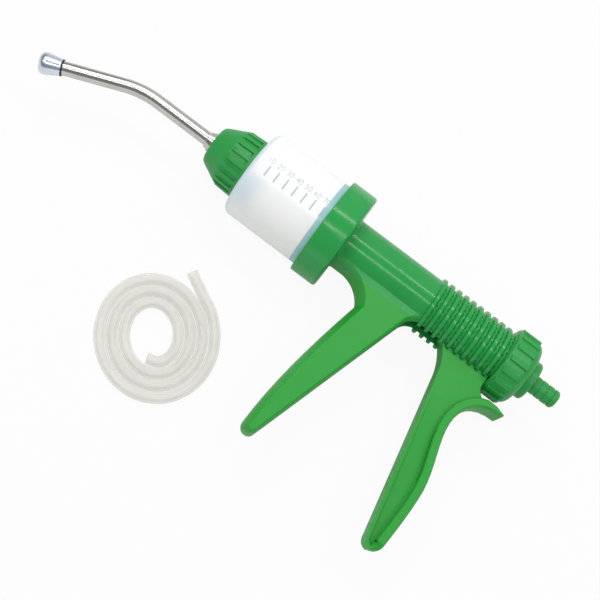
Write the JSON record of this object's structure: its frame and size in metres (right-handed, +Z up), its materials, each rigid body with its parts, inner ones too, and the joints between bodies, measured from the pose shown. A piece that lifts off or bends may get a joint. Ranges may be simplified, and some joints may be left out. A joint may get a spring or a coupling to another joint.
{
  "type": "livestock drencher",
  "caption": "Squeeze-handle livestock drencher: graduated barrel, sprung piston and valves, bent metal nozzle, dose-setting rear nut with a hose barb, and a coiled supply hose.",
  "frame": {"origin": "on the surface the gun lies on, under the middle of the gun's box", "axes": "+X along the barrel towards the nozzle, +Y from the barrel towards the handles, +Z up"},
  "size_m": [0.332, 0.1606, 0.058],
  "materials": {
    "green_plastic": "glossy moulded green",
    "frosted_plastic": "frosted translucent white",
    "teal_plastic": "satin moulded teal",
    "blue_plastic": "satin moulded blue",
    "steel": "polished stainless steel",
    "chrome_tip": "bright chrome plating",
    "dark_rubber": "matte black rubber",
    "clear_hose": "clear ivory soft vinyl"
  },
  "bodies": {
    "body": {"front_body": "green_plastic", "barrel": "frosted_plastic", "barrel_gasket": "dark_rubber", "rod_guide": "steel", "return_spring": "steel", "nozzle_cap": "green_plastic", "cap_gasket": "dark_rubber", "outlet_seat": "blue_plastic", "outlet_spring": "steel", "delivery_pipe": "steel", "nozzle_ferrule": "steel", "nozzle_tip": "chrome_tip", "tip_ring": "dark_rubber", "supply_hose": "clear_hose"},
    "handle": {"rear_handle": "green_plastic", "plunger_rod": "steel", "rod_pin": "steel", "rod_seal": "dark_rubber", "piston": "teal_plastic", "piston_rings": "dark_rubber", "inlet_cage": "blue_plastic", "inlet_spring": "steel"},
    "outlet_valve": {"outlet_poppet": "teal_plastic"},
    "inlet_valve": {"inlet_poppet": "teal_plastic"},
    "inlet_spigot": {"hose_barb": "green_plastic", "barb_clip": "dark_rubber"},
    "rear_nut": {"rear_nut": "green_plastic"}
  },
  "joints": [
    {"name": "squeeze", "type": "slide", "parent": "body", "child": "handle", "axis": [1, 0, 0], "range_m": [0, 0.04104], "stiffness_N_per_m": 300, "springref_m": -0.02, "deforming": ["return_spring"]},
    {"name": "outlet_valve_lift", "type": "slide", "parent": "body", "child": "outlet_valve", "axis": [1, 0, 0], "range_m": [0, 0.003], "stiffness_N_per_m": 60, "springref_m": -0.004, "deforming": ["outlet_spring"]},
    {"name": "inlet_valve_lift", "type": "slide", "parent": "handle", "child": "inlet_valve", "axis": [1, 0, 0], "range_m": [0, 0.0016], "stiffness_N_per_m": 60, "springref_m": -0.003, "deforming": ["inlet_spring"]},
    {"name": "dose_setting", "type": "slide", "parent": "body", "child": "inlet_spigot", "axis": [1, 0, 0], "range_m": [-0.0097, 0.0001]},
    {"name": "nut_turn", "type": "hinge", "parent": "inlet_spigot", "child": "rear_nut", "pos_m": [-0.13619, -0.04825, 0.029], "axis": [1, 0, 0], "range_deg": [-720, 0]}
  ],
  "couplings": [
    {"joint": "dose_setting", "follows": "nut_turn", "m_per_rad": 0.00076394}
  ]
}
